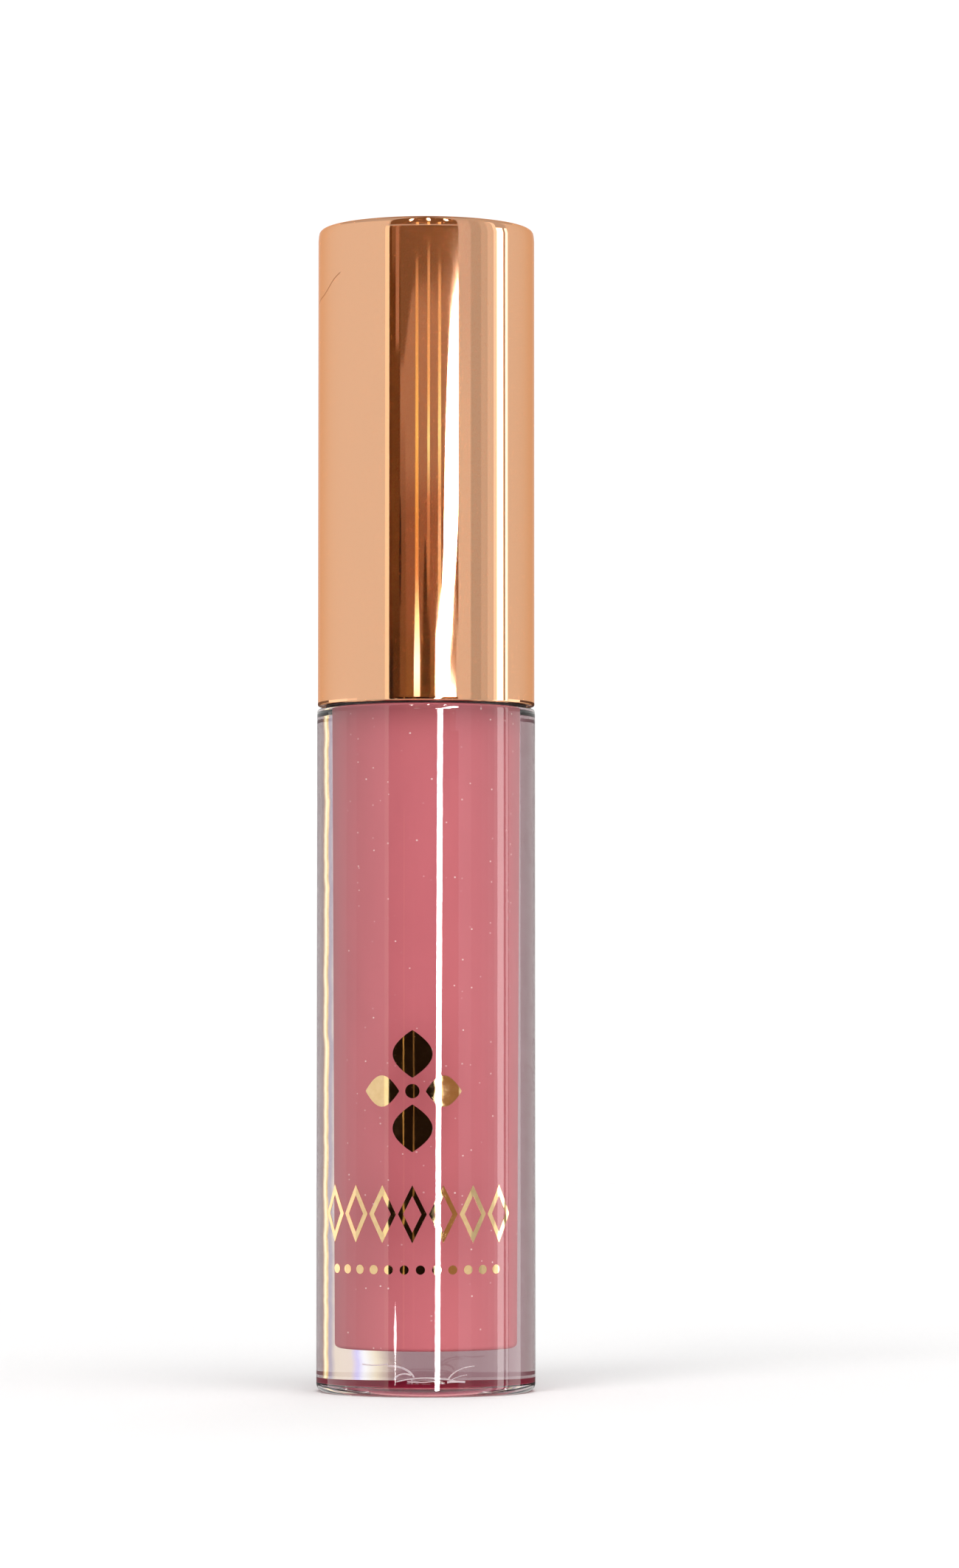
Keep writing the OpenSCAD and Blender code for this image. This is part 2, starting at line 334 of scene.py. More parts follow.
def addLightRing():
    white = (1.0, 0.985, 0.97)
    low, high = -16, 13

    def upright(name, left, right, strength, fade=None, top=high):
        addPanel(name, [(low, left, right), (top, left, right)], white, strength, fade=fade)

    dimLeft, paleLeft = (0.2, 0.18, 0.18), (0.89, 0.877, 0.863)
    dimRight, paleRight = (0.12, 0.1, 0.1), (0.84, 0.83, 0.81)
    addPanel("leftFar", [(low, -180, -126), (26, -180, -126)], fade=[
        (-16, paleLeft), (-6.5, paleLeft), (-5.5, dimLeft), (3.4, dimLeft), (3.5, paleLeft),
        (26, paleLeft)])
    upright("leftWrap", -126, -41, 0.89, top=26)
    addPanel("leftLift", [(low, -126, -92), (3.46, -126, -92)], white, 1.4, nearer=3)
    addPanel("leftLiftSoft", [(low, -92, -78), (3.46, -92, -78)], white, 1.12, nearer=3)
    addPanel("leftEdge", [(low, -44, -39.2), (high, -44, -39.2)], (1.0, 0.98, 0.86), 1.26, nearer=6)
    addPanel("rightWrap", [(low, 96, 180), (26, 96, 180)], fade=[
        (-16, paleRight), (-6.5, paleRight), (-5.5, dimRight), (3.4, dimRight), (3.5, paleRight),
        (26, paleRight)])
    addPanel("rightLift", [(low, 97, 118), (3.46, 97, 118)], white, 1.8, nearer=3)
    addPanel("rightCardFoot", [(3.2, 31, 35), (4.3, 32, 35)], (0.8, 0.76, 0.74), nearer=8)
    upright("rightCard", 34, 48, 1.0, top=26, fade=[
        (-16, (0.84, 0.8, 0.78)), (6.4, (0.82, 0.79, 0.77)), (7.8, (0.71, 0.67, 0.68)),
        (26, (0.7, 0.66, 0.68))])
    upright("rightGrey", 48, 60, 0.56, top=26)
    upright("rightGreyLift", 60, 68, 0.68, top=26)
    upright("rightRise", 68, 76, 0.84, top=26)
    upright("rightRiseMore", 76, 80.4, 1.3, top=26)
    upright("rightStrip", 80.4, 89.4, 4.2)
    upright("rightHair", 89.4, 92.4, 0.4)
    upright("rightStripThin", 92.4, 96.5, 3.0)

    # the dark gap between the soft boxes, brown higher up
    night = (0.012, 0.006, 0.004)
    brown = (0.29, 0.13, 0.075)
    dusty = (0.5, 0.34, 0.25)
    addPanel("gapDusty", [(3.2, 25, 31.5), (4.2, 25, 32.5), (4.6, 29, 32.5)], dusty, nearer=7)
    addPanel("gapCopper", [(low, 16.5, 34), (2.7, 16.5, 34)], (0.34, 0.19, 0.11), nearer=3)
    addPanel("gapThread", [(-3.2, -23.8, -22.4), (2.4, -23.4, -22.6)], (0.62, 0.4, 0.17), nearer=5)
    addPanel("gapThreadDim", [(-3.2, -13.4, -12.0), (1.6, -13.0, -12.4)], (0.26, 0.15, 0.07), nearer=5)
    addPanel("gapSoft", [(3.2, -27.5, -20.5), (6.4, -27.5, -22)], nearer=3, fade=[
        (3.2, (0.18, 0.09, 0.035)), (5.2, (0.2, 0.095, 0.048)), (6.4, (0.4, 0.24, 0.17))])
    umber = (0.2, 0.113, 0.064)
    addPanel("gap", [(low, -39.5, 34), (high, -39.5, 34)], fade=[
        (-16, night), (2.6, night), (3.2, (0.23, 0.125, 0.04)), (3.9, (0.25, 0.13, 0.05)), (4.4, brown),
        (5.5, (0.3, 0.14, 0.085)), (6.0, (0.42, 0.26, 0.19)), (7.6, (0.44, 0.28, 0.2)),
        (8.0, umber), (13, umber),
    ])
    addPanel("gapCorner", [
        (7.0, -28.5, -24.2), (7.4, -28.5, -19.5), (7.78, -28.5, -14.5), (8.09, -28.5, -2),
        (8.3, -28.5, 34), (high, -28.5, 34),
    ], umber, nearer=4)
    shade = (0.12, 0.052, 0.016)
    addPanel("gapEdge", [(low, -39.5, -27.5), (high, -39.5, -27.5)], nearer=6, fade=[
        (-16, night), (2.6, night), (3.2, (0.06, 0.03, 0.01)), (4.2, (0.07, 0.033, 0.011)), (4.8, shade),
        (7.1, shade), (7.8, (0.1, 0.037, 0.008)), (8.2, (0.25, 0.13, 0.07)), (13, (0.3, 0.16, 0.09)),
    ])
    addPanel("gapEdgeDeep", [
        (low, -39.4, -34.6), (4.2, -39.4, -34.8), (4.6, -39.4, -36.6), (high, -39.4, -36.6),
    ], nearer=8, fade=[
        (-16, night), (3.9, night), (4.3, (0.1, 0.03, 0.006)), (8, (0.12, 0.05, 0.014)),
        (13, (0.2, 0.09, 0.04)),
    ])
    addPanel("gapEdgeLift", [(7.2, -32.4, -28.6), (high, -32.4, -28.6)], (0.43, 0.25, 0.17), nearer=8)
    addPanel("blackLine", [
        (4.5, -27.6, -26.9), (4.9, -28.6, -26.2), (5.3, -28.2, -26.4), (5.65, -27.4, -27.0),
    ], night, nearer=10)
    addPanel("darkWedge", [
        (3.51, -4.5, 4.6), (4.2, -4.0, 4.2), (4.5, -3.4, 1.8), (4.85, -2.6, 0.4), (5.2, -1.6, -0.9),
    ], (0.055, 0.026, 0.01), nearer=10)

    # three warm tubes, then the white strip that leans over them
    amber = (1.0, 0.72, 0.3)
    addPanel("warmLeft", [
        (3.51, -12.8, -6.4), (3.9, -12.8, -6.4), (4.35, -11.8, -7.2), (4.6, -11.6, -8.0),
        (8.1, -11.2, -8.4),
    ], nearer=20, fade=[
        (3.51, (2.6, 2.4, 2.0)), (3.8, (2.8, 3.2, 3.6)), (4.2, (2.4, 2.4, 1.5)), (4.7, (0.95, 0.5, 0.2)),
        (5.3, (0.95, 0.56, 0.17)), (6.2, (1.15, 0.95, 0.33)), (7.7, (0.8, 0.5, 0.25)), (8.1, umber)])
    addPanel("warmMiddle", [(4.4, 1.0, 3.8), (8.3, 1.2, 3.8)], nearer=20, fade=[
        (4.4, (0.2, 0.09, 0.04)), (4.8, (0.5, 0.27, 0.13)), (5.5, (0.65, 0.36, 0.2)),
        (6.1, (1.2, 1.4, 0.8)), (6.6, (1.05, 0.8, 0.4)), (7.8, (0.8, 0.56, 0.3)), (8.3, umber)])
    addPanel("warmRight", [(4.4, 12.2, 15.6), (8.0, 12.4, 15.4)], nearer=20, fade=[
        (4.4, amber), (5.2, (1.0, 0.8, 0.6)), (5.5, (0.9, 0.6, 0.35)), (6.2, (1.25, 1.4, 0.8)),
        (7.0, (1.05, 0.85, 0.45)), (7.8, (0.8, 0.55, 0.3)), (8.0, umber)])
    addPanel("whiteStrip", [
        (low, 9.2, 14.4), (-3.6, 9.2, 14.6), (0, 10.4, 16.2), (3.47, 11.6, 17.6), (3.51, 9.8, 32.0),
        (3.6, 9.8, 31.0), (3.65, 9.6, 25.0), (4.05, 9.8, 24.6), (4.4, 13.4, 27.6), (4.7, 16.8, 29.1),
        (5.09, 18.4, 32.0), (5.47, 18.8, 33.6), (6.25, 20.2, 34.0), (7.01, 22.8, 34.0), (7.38, 25, 34.0),
        (7.64, 28.4, 34.0), (7.8, 33.0, 34.0),
    ], white, 26.0, nearer=30)
    addPanel("lowStreak", [
        (-3.75, -32.3, -31.7), (-3.3, -32.5, -31.3), (-3.15, -33.5, -30.3), (-2.95, -33.2, -30.6),
        (-2.72, -32.0, -31.8),
    ], white, 17.0, nearer=12)

    # the dark gap and the tubes go on overhead, where only the cap's top edge mirrors them
    addArch("gapOverhead", (-39.5, 34), (18, 125), umber, 1.0)
    for at, high in ((-17.5, 45), (2.7, 60), (22.9, 45)):
        addArch("tubeEnd", (at - 1.4, at + 1.4), (29, high), (1.0, 0.93, 0.82), 60.0, radius=590)
    for at in (-9.5, 2.4, 14.0):
        addArch("tubeGlow", (at - 1.5, at + 1.5), (18, 23), amber, 1.3, radius=590)
    print("light panels placed")


def addLamp(name, azimuth, elevation, distance, size, power):
    data = bpy.data.lights.new(name, "AREA")
    data.shape = "DISK"
    data.size = size * mm
    data.energy = power
    lamp = addObject(name, data)
    e = math.radians(elevation)
    spot = around(azimuth, distance * math.cos(e), 50 + distance * math.sin(e))
    lamp.location = spot
    lamp.rotation_euler = (spot - Vector((0, 0, 0.05))).to_track_quat("Z", "Y").to_euler()
    lamp.visible_camera = False
    lamp.visible_transmission = False
    lamp.visible_glossy = False


def addWorld():
    # pale to the eye, plain for mirrors, and a turning gradient for what is seen through clear walls
    world = bpy.data.worlds.new("studioWorld")
    bpy.context.scene.world = world
    world.use_nodes = True
    tree = world.node_tree
    tree.nodes.clear()
    link = tree.links.new
    out = tree.nodes.new("ShaderNodeOutputWorld")
    through = tree.nodes.new("ShaderNodeBackground")
    plain = tree.nodes.new("ShaderNodeBackground")
    setInputs(plain, {"Color": (0.98, 0.98, 1.0, 1), "Strength": 0.62})
    path = tree.nodes.new("ShaderNodeLightPath")
    mix = tree.nodes.new("ShaderNodeMixShader")
    coords = tree.nodes.new("ShaderNodeTexCoord")
    place = tree.nodes.new("ShaderNodeMapping")
    place.vector_type = "POINT"
    place.inputs["Rotation"].default_value = (0, 0, math.radians(-studio["cameraAzimuth"]))
    split = tree.nodes.new("ShaderNodeSeparateXYZ")
    flipY = mathNode(tree, "MULTIPLY", [(1, -1)])
    angle = mathNode(tree, "ARCTAN2")
    toUnit = tree.nodes.new("ShaderNodeMapRange")
    setInputs(toUnit, {
        "From Min": -math.pi + studio["streakTurn"], "From Max": math.pi + studio["streakTurn"],
    })
    link(coords.outputs["Generated"], place.inputs["Vector"])
    link(place.outputs[0], split.inputs[0])
    link(split.outputs["Y"], flipY.inputs[0])
    link(split.outputs["X"], angle.inputs[0])
    link(flipY.outputs[0], angle.inputs[1])
    # the streaks wander a little with height, as they do through a moulded wall
    wander = tree.nodes.new("ShaderNodeTexNoise")
    wander.noise_dimensions = "1D"
    setInputs(wander, {"Scale": studio["streakScale"], "Detail": 3})
    sway = mathNode(tree, "MULTIPLY_ADD", [(1, studio["streakSway"])])
    link(split.outputs["Z"], wander.inputs["W"])
    link(wander.outputs["Fac"], sway.inputs[0])
    link(angle.outputs[0], sway.inputs[2])
    link(sway.outputs[0], toUnit.inputs["Value"])

    def at(degrees):
        return (degrees + 180) / 360

    mauve = (0.195, 0.11, 0.125)
    dusk = (0.13, 0.06, 0.068)
    stops = [
        (at(-180), mauve), (at(-130), mauve), (at(-118), dusk), (at(-96), dusk),
        (at(-84), (1.15, 1.13, 1.1)), (at(-40), (1.05, 1.03, 1.02)), (at(30), (1.08, 1.06, 1.05)),
        (at(56), (1.3, 1.29, 1.29)), (at(86), (1.7, 1.68, 1.68)), (at(90), (0.12, 0.06, 0.07)),
        (at(113.4), (0.12, 0.06, 0.06)), (at(115.8), (0.3, 0.14, 0.07)), (at(117.4), (0.66, 0.52, 0.28)),
        (at(119.4), (0.78, 0.74, 0.5)), (at(121.8), (0.74, 0.58, 0.2)), (at(123.4), (0.5, 0.28, 0.08)),
        (at(124.8), (0.15, 0.1, 0.17)), (at(128), (0.2, 0.15, 0.2)),
        (at(133), (0.46, 0.38, 0.3)), (at(146), (0.5, 0.42, 0.36)), (at(150), (0.4, 0.36, 0.6)),
        (at(154), (0.62, 0.62, 0.64)), (at(160), (0.55, 0.48, 0.36)), (at(166), (0.28, 0.19, 0.18)),
        (at(171), mauve), (at(180), mauve),
    ]
    rampFrom(tree, toUnit.outputs[0], stops, through.inputs["Color"])
    through.inputs["Strength"].default_value = 1.6
    link(path.outputs["Is Transmission Ray"], mix.inputs["Fac"])
    link(plain.outputs[0], mix.inputs[1])
    link(through.outputs[0], mix.inputs[2])
    link(mix.outputs[0], out.inputs["Surface"])


def addFloor():
    # one sheet: a flat floor that curves up into the backdrop
    bm = bmesh.new()
    back, wide = studio["floorBend"], studio["floorWidth"]
    run = [(studio["floorFront"], 0), (studio["floorFlat"], 0), (back, 0), (back, studio["backdropHeight"])]
    verts = [bm.verts.new((-wide / 2, y, z)) for y, z in run]
    edges = [bm.edges.new(pair) for pair in zip(verts, verts[1:])]
    bmesh.ops.bevel(
        bm, geom=[verts[2]], offset=studio["floorBendRadius"], segments=24, profile=0.5,
        affect="VERTICES", material=-1, clamp_overlap=True,
    )
    wires = list(bm.edges)
    grown = bmesh.ops.extrude_edge_only(bm, edges=wires)
    moved = [g for g in grown["geom"] if isinstance(g, bmesh.types.BMVert)]
    bmesh.ops.translate(bm, vec=(wide, 0, 0), verts=moved)
    bmesh.ops.recalc_face_normals(bm, faces=bm.faces)
    turn = Matrix.Rotation(math.radians(studio["cameraAzimuth"]), 3, "Z")
    bmesh.ops.rotate(bm, cent=(0, 0, 0), matrix=turn, verts=bm.verts)
    bmesh.ops.scale(bm, vec=(mm, mm, mm), verts=bm.verts)
    mesh = meshFrom(bm, "paleFloor")
    mesh.shade_smooth()
    floor = addObject("paleFloor", mesh)
    # the paper glows a little more with distance, so that it runs out to white
    mat, tree, shader = newMaterial("palePaper")
    coords = tree.nodes.new("ShaderNodeTexCoord")
    away = tree.nodes.new("ShaderNodeVectorMath")
    away.operation = "LENGTH"
    half = mathNode(tree, "MULTIPLY", [(1, 0.5)])
    tree.links.new(coords.outputs["Object"], away.inputs[0])
    tree.links.new(away.outputs["Value"], half.inputs[0])
    rampFrom(tree, half.outputs[0], [
        (0.02, 0.0), (0.16, 0.14), (0.26, 0.25), (0.31, 0.36), (0.35, 0.48),
    ], shader.inputs["Emission Strength"])
    setInputs(shader, {
        "Base Color": (0.6, 0.6, 0.6, 1), "Roughness": 0.9, "Specular IOR Level": 0.1,
        "Emission Color": (1, 1, 1, 1),
    })
    mesh.materials.append(mat)
    floor.visible_glossy = False
    floor.visible_transmission = False


addCamera()
addLightRing()
addLamp("overhead", 20, 72, 900, 520, 6.0)
addLamp("overheadFront", -30, 48, 1000, 420, 4.0)
addLamp("rear", 165, 40, 1000, 520, 2.2)
addWorld()
addFloor()
bpy.context.scene.view_settings.view_transform = "Standard"
print("studio ready")


# the clear vial

vial = {
    "segments": 192,
    "footRound": 0.7,
    "shoulderRound": 0.25,
    "recessDepth": 0.8,
    "footRing": 1.0,
    "baseThickness": 3.8,
    "cavityFloorR": 5.06,
    "cavityTopR": 5.24,
    "shoulderZ": 59.8,
    "collarHeight": 1.9,
    "threadDepth": 0.75,
    "neckR": 6.54,
    "threadFoot": 64.6,
    "threadLead": 2.4,
    "threadTurns": 1.5,
    "threadCrest": 0.3,      # half the flat crest's height
    "threadFlank": 0.35,     # the height of one flank
    "threadRunOut": 0.7,     # radians over which each end fades
    "gateR": 1.1,            # the gate's dimple under the base
    "gateDepth": 0.45,
    "recessRound": 0.12,
    "edgeRound": 0.2,
    "mouthRound": 0.15,
    "cavityRound": 0.4,
    "footRings": (1.1, 1.5),     # close rings keep the shading true next to the rounded edges
    "shoulderRings": (1.2, 0.5),
    "wallRingFoot": 2,
    "wallRingStep": 1.92,
    "wallRings": 30,
    "neckRingStep": 0.14,
    "neckRingEnd": 0.3,
}


def clearPlastic():
    mat, tree, shader = newMaterial("clearPlastic")
    setInputs(shader, {"Base Color": (0.975, 0.955, 0.955, 1), "Transmission Weight": 1.0, "IOR": 1.57})
    haze = objectNoise(tree, 300, 2)
    rampFrom(tree, haze.outputs["Fac"], [(0.35, 0.0), (0.8, 0.02)], shader.inputs["Roughness"])
    wave = objectNoise(tree, 210, 2, stretch=(1, 1, 0.35))
    bumpFrom(tree, shader, wave.outputs["Fac"], 0.1, 0.00001)
    return mat


def threadHeight(angle, z):
    # how far the thread stands off the neck at this angle and height, from 0 to 1
    best = 0.0
    total = vial["threadTurns"] * math.tau
    turn = 0
    while angle + turn * math.tau <= total:
        a = angle + turn * math.tau
        middle = vial["threadFoot"] + vial["threadLead"] * a / math.tau
        fade = min(1.0, a / vial["threadRunOut"], (total - a) / vial["threadRunOut"])
        off = abs(z - middle)
        side = 1 - (off - vial["threadCrest"]) / vial["threadFlank"]
        best = max(best, min(1.0, max(0.0, side)) * fade)
        turn += 1
    return best


def makeVial():
    v = vial
    recessR = bodyR - v["footRound"] - v["footRing"]
    collarZ = v["shoulderZ"] + v["collarHeight"]
    collarR = v["neckR"] + v["threadDepth"]
    gateR, gateTop = v["gateR"], v["recessDepth"] + v["gateDepth"]
    outline = [
        (0, gateTop), (gateR * 0.5, gateTop - v["gateDepth"] * 0.12),
        (gateR * 0.85, gateTop - v["gateDepth"] * 0.5), (gateR, v["recessDepth"]),
        (recessR, v["recessDepth"]), (recessR, 0), (bodyR, 0),
    ]
    outline += [(bodyR, up) for up in v["footRings"]]
    outline += [(bodyR, v["wallRingFoot"] + v["wallRingStep"] * i) for i in range(v["wallRings"])]
    outline += [(bodyR, v["shoulderZ"] - down) for down in v["shoulderRings"]]
    outline += [(bodyR, v["shoulderZ"]), (collarR, v["shoulderZ"])]
    outline += [(collarR, collarZ), (v["neckR"], collarZ)]
    step, end = v["neckRingStep"], v["neckRingEnd"]
    rings = int((neckTop - 2 * end - collarZ - end) / step)
    outline += [(v["neckR"], collarZ + end + step * i) for i in range(rings + 1)]
    outline += [(v["neckR"], neckTop), (v["cavityTopR"], neckTop)]
    outline += [(v["cavityTopR"], v["shoulderZ"]), (v["cavityFloorR"], v["baseThickness"])]
    outline += [(0, v["baseThickness"])]
    bm = spinProfile(outline, v["segments"])
    roundRing(bm, bodyR, 0, v["footRound"], 8)
    roundRing(bm, bodyR, v["shoulderZ"], v["shoulderRound"], 6)
    roundRing(bm, recessR, 0, v["recessRound"], 3)
    roundRing(bm, recessR, v["recessDepth"], v["recessRound"], 3)
    roundRing(bm, collarR, collarZ, v["edgeRound"], 3)
    roundRing(bm, collarR, v["shoulderZ"], v["edgeRound"], 3)
    roundRing(bm, v["neckR"], neckTop, v["edgeRound"], 3)
    roundRing(bm, v["cavityTopR"], neckTop, v["mouthRound"], 3)
    roundRing(bm, v["cavityFloorR"], v["baseThickness"], v["cavityRound"], 5)
    for vert in bm.verts:
        r = math.hypot(vert.co.x, vert.co.y)
        if abs(r - v["neckR"]) < ringReach and collarZ < vert.co.z < neckTop - end:
            angle = math.atan2(vert.co.y, vert.co.x) % math.tau
            grown = r + v["threadDepth"] * threadHeight(angle, vert.co.z)
            vert.co.x *= grown / r
            vert.co.y *= grown / r
    return finishPiece(bm, "vialWall", clearPlastic(), "vial", ["bottle"])


makeVial()
print("vial made")


# the curls that the melt left in the clear base, over its gate

flow = {
    # each curl: sideways and up to its centre, bend radius, start and sweep in degrees, depth, thickness
    "curls": [
        (-2.0, 1.05, 1.35, 100, -85, -0.6, 0.056),
        (-1.95, 1.0, 1.3, 92, -62, 0.5, 0.040),
        (-2.9, 5.3, 2.9, -104, 30, 0.2, 0.048),
        (-1.25, 1.1, 0.62, 172, -120, -1.0, 0.064),
        (0.1, -3.4, 4.75, 112, -42, -0.4, 0.048),
        (0.3, -3.3, 4.5, 104, -30, 0.8, 0.035),
        (2.9, 0.6, 1.75, 160, -66, -0.2, 0.042),
        (2.4, 0.1, 1.45, 150, -52, 0.9, 0.035),
        (1.9, -3.55, 4.62, 97, -14, -2.0, 0.088),
        (-0.4, 5.2, 4.2, -100, 24, -1.4, 0.042),
    ],
}


def paleFlowPaintedGlow():
    mat, tree, shader = newMaterial("paleFlowPaintedGlow")
    grain = objectNoise(tree, 1600, 2)
    tint = rampFrom(tree, grain.outputs["Fac"], [
        (0.3, (0.85, 0.8, 0.86)), (0.7, (1.0, 0.96, 0.96)),
    ], shader.inputs["Base Color"])
    tree.links.new(tint.outputs["Color"], shader.inputs["Emission Color"])
    # the curls also glow a little: a painted highlight on top of their pale colour
    setInputs(shader, {"Emission Strength": 0.25, "Roughness": 0.6, "Specular IOR Level": 0.0})
    return mat


def makeFlow():
    whole = bmesh.new()
    turn = Matrix.Rotation(math.radians(studio["cameraAzimuth"]), 3, "Z")
    for side, up, bend, start, sweep, depth, thick in flow["curls"]:
        part = bmesh.new()
        made = bmesh.ops.create_circle(part, cap_ends=True, segments=8, radius=thick)
        bmesh.ops.translate(part, vec=(bend, 0, 0), verts=made["verts"])
        bmesh.ops.spin(
            part, geom=list(part.verts) + list(part.edges) + list(part.faces), cent=(0, 0, 0),
            axis=(0, -1, 0), angle=math.radians(sweep), steps=20,
        )
        bmesh.ops.rotate(
            part, cent=(0, 0, 0), matrix=Matrix.Rotation(math.radians(-start), 3, "Y"), verts=part.verts,
        )
        bmesh.ops.translate(part, vec=(side, depth, up), verts=part.verts)
        bmesh.ops.remove_doubles(part, verts=part.verts, dist=weldDistance)
        bmesh.ops.recalc_face_normals(part, faces=part.faces)
        bmesh.ops.rotate(part, cent=(0, 0, 0), matrix=turn, verts=part.verts)
        joinInto(whole, part)
    finishPiece(whole, "flowCurls", paleFlowPaintedGlow(), "vial", weighted=False)


makeFlow()


# the gloss inside

gloss = {
    "bite": 0.02,       # it wets the wall, so it reaches just past the cavity's surface
    "wandHoleR": 2.25,
    "wandHoleFoot": 5.1,
}


def tintedGloss():
    mat, tree, shader = newMaterial("tintedGloss")
    cloud = objectNoise(tree, 170, 3, stretch=(1, 1, 0.4))
    tint = rampFrom(tree, cloud.outputs["Fac"], [
        (0.3, (0.66, 0.187, 0.218)), (0.7, (0.71, 0.206, 0.238)),
    ])
    coords = tree.nodes.new("ShaderNodeTexCoord")
    # pale specks through the gloss: shimmer flakes, with their glints painted in as pale base colour
    cells = tree.nodes.new("ShaderNodeTexVoronoi")
    cells.inputs["Scale"].default_value = 1900
    tree.links.new(coords.outputs["Object"], cells.inputs["Vector"])
    near = rampFrom(tree, cells.outputs["Distance"], [(0.1, 1.0), (0.17, 0.0)])
    picked = tree.nodes.new("ShaderNodeSeparateColor")
    tree.links.new(cells.outputs["Color"], picked.inputs[0])
    rare = rampFrom(tree, picked.outputs[0], [(0.8, 0.0), (0.97, 1.0)])
    paintedGlintSpecks = tree.nodes.new("ShaderNodeMix")
    paintedGlintSpecks.data_type = "RGBA"
    paintedGlintSpecks.blend_type = "MULTIPLY"
    paintedGlintSpecks.inputs["Factor"].default_value = 1.0
    tree.links.new(near.outputs["Color"], paintedGlintSpecks.inputs["A"])
    tree.links.new(rare.outputs["Color"], paintedGlintSpecks.inputs["B"])
    lit = tree.nodes.new("ShaderNodeMix")
    lit.data_type = "RGBA"
    lit.inputs["B"].default_value = (1.0, 0.8, 0.78, 1)
    tree.links.new(paintedGlintSpecks.outputs["Result"], lit.inputs["Factor"])
    tree.links.new(tint.outputs["Color"], lit.inputs["A"])
    tree.links.new(lit.outputs["Result"], shader.inputs["Base Color"])
    setInputs(shader, {"Roughness": 0.8, "Specular IOR Level": 0.0})
    return mat


def makeGloss():
    g = gloss
    top = glossHigh.z
    topR = vial["cavityTopR"] + g["bite"]
    floorR = vial["cavityFloorR"] + g["bite"]
    floorZ = vial["baseThickness"] - g["bite"]
    outline = [
        (0, floorZ), (floorR, floorZ), (topR, vial["shoulderZ"]), (topR, top),
        (g["wandHoleR"], top), (g["wandHoleR"], g["wandHoleFoot"]), (0, g["wandHoleFoot"]),
    ]
    bm = spinProfile(outline, 128)
    roundRing(bm, floorR, floorZ, vial["cavityRound"], 5)
    finishPiece(bm, "glossFilling", tintedGloss(), "vial", ["gloss_fill"])


makeGloss()
print("gloss made")


# the label under the base

label = {
    "bite": 0.02,        # its glue wets the base, so it reaches a hair into the clear plastic
    "flatShare": 0.97,   # of its radius, the ring where its flat face ends
    "edgeRound": 0.03,
}


def roseFilm():
    mat, tree, shader = newMaterial("roseFilm")
    grain = objectNoise(tree, 2600, 2)
    rampFrom(tree, grain.outputs["Fac"], [
        (0.3, (0.4, 0.035, 0.085)), (0.7, (0.47, 0.05, 0.11)),
    ], shader.inputs["Base Color"])
    setInputs(shader, {"Roughness": 1.0, "Specular IOR Level": 0.0})
    bumpFrom(tree, shader, grain.outputs["Fac"], 0.15, 0.00001)
    return mat


def makeLabel():
    r, low, high = labelHigh.x, labelLow.z, labelHigh.z + label["bite"]
    bm = spinProfile([(0, low), (r * label["flatShare"], low), (r, low), (r, high), (0, high)], 96)
    roundRing(bm, r, low, label["edgeRound"], 2)
    finishPiece(bm, "shadeLabel", roseFilm(), "vial", ["base_label"])


makeLabel()


# the stamped foil

foil = {
    "lift": 0.004,       # clear of the wall, in mm
    "thickness": 0.026,
    "slice": 0.16,       # how finely a flat shape is cut before it is bent round the body
    "petalWidth": 3.5,
    "sidePetalWidth": 2.7,
    "petalGap": 1.15,
    "discR": 0.62,
    "lozenges": 7,
    "lozengeWidth": 2.5,
    "lozengeLine": 0.41,
    "lozengeSpace": 0.18,
    "dots": 12,
    "dotR": 0.4,
    "dotSpace": 0.6,
}


def goldFoil():
    mat, tree, shader = newMaterial("goldFoil")
    wear = objectNoise(tree, 1500, 3)
    rampFrom(tree, wear.outputs["Fac"], [
        (0.3, (0.86, 0.6, 0.3)), (0.7, (0.93, 0.68, 0.37)),
    ], shader.inputs["Base Color"])
    shader.inputs["Metallic"].default_value = 1.0
    rampFrom(tree, wear.outputs["Fac"], [(0.3, 0.03), (0.75, 0.09)], shader.inputs["Roughness"])
    bumpFrom(tree, shader, wear.outputs["Fac"], 0.12, 0.00001)
    return mat


def petal(bm, width, height, gap, turn):
    # a pointed petal that stands off the middle by gap, drawn upright and then turned
    made = bmesh.ops.create_circle(bm, cap_ends=True, segments=40, radius=1.0)
    for v in made["verts"]:
        t = (v.co.y + 1) / 2
        side = 1 if v.co.x >= 0 else -1
        v.co.x = side * width / 2 * math.sin(math.pi * t) ** 0.9 if 0 < t < 1 else 0
        v.co.y = gap + (height - gap) * t
    bmesh.ops.rotate(
        bm, cent=(0, 0, 0), matrix=Matrix.Rotation(math.radians(turn), 3, "Z"), verts=made["verts"],
    )


def lozenge(bm, width, height, line):
    made = bmesh.ops.create_circle(bm, cap_ends=True, segments=4, radius=1.0)
    bmesh.ops.scale(bm, vec=(width / 2, height / 2, 1), verts=made["verts"])
    faces = list({f for v in made["verts"] for f in v.link_faces})
    bmesh.ops.inset_individual(bm, faces=faces, thickness=line, use_even_offset=True)
    bmesh.ops.delete(bm, geom=faces, context="FACES")


